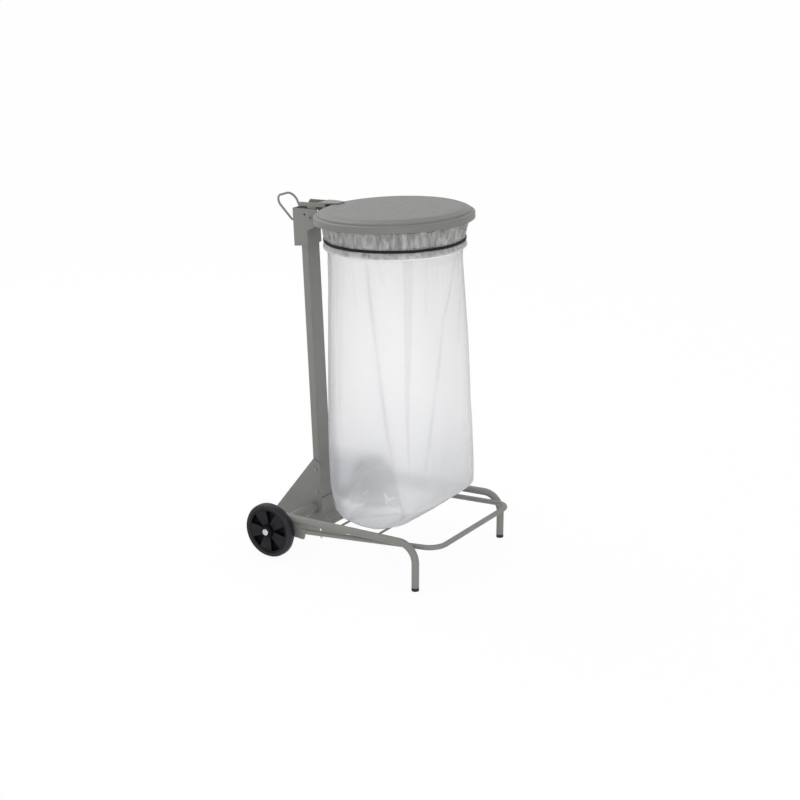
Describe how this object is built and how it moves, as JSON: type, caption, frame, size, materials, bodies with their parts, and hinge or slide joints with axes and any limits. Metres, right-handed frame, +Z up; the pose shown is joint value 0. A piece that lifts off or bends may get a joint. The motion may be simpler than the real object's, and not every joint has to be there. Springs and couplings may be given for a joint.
{
  "type": "bin bag holder",
  "caption": "Wheeled bin bag holder: a leaning mast on a tubular foot frame carries a hoop that holds a film bag open under a round hinged lid.",
  "frame": {"origin": "on the floor under the middle of the whole holder", "axes": "+X forward from the wheels to the feet, +Y along the wheel axle to the far side, +Z up"},
  "size_m": [0.6458, 0.5196, 0.9566],
  "materials": {
    "paint": "satin warm grey powder coat",
    "zinc": "bright zinc plate",
    "black_plastic": "moulded, satin",
    "tyre": "smooth solid tyre",
    "elastic": "matt woven-look elastic",
    "film": "frosted translucent film"
  },
  "bodies": {
    "holder": {"leg_near": "paint", "leg_far": "paint", "side_plate_near": "paint", "side_plate_far": "paint", "axle_tube": "paint", "ring_tube": "paint", "rear_cross_wire": "paint", "front_cross_wire": "paint", "mast": "paint", "mast_shoe": "paint", "head_bracket": "paint", "handle": "paint", "bag_crown": "paint", "crown_arm": "paint", "hinge_pin": "paint", "axle": "zinc", "axle_cap_near": "zinc", "axle_cap_far": "zinc", "shoe_screws": "zinc", "ring_screw_near": "zinc", "ring_screw_far": "zinc", "wheel_spacer_near": "black_plastic", "wheel_spacer_far": "black_plastic", "foot_cap_near": "black_plastic", "foot_cap_far": "black_plastic", "hinge_washers": "black_plastic", "elastic_strap": "elastic", "bag": "film"},
    "lid": {"lid": "paint", "lid_arm": "paint"},
    "wheel_near": {"tyre_near": "tyre", "wheel_hub_near": "black_plastic"},
    "wheel_far": {"tyre_far": "tyre", "wheel_hub_far": "black_plastic"}
  },
  "joints": [
    {"name": "lid_hinge", "type": "hinge", "parent": "holder", "child": "lid", "pos_m": [-0.1856, 0, 0.8994], "axis": [0, -1, 0], "range_deg": [0, 90]},
    {"name": "near_wheel_spin", "type": "hinge", "parent": "holder", "child": "wheel_near", "pos_m": [-0.1889, -0.235, 0.075], "axis": [0, 1, 0], "continuous": true},
    {"name": "far_wheel_spin", "type": "hinge", "parent": "holder", "child": "wheel_far", "pos_m": [-0.1889, 0.235, 0.075], "axis": [0, 1, 0], "continuous": true}
  ]
}
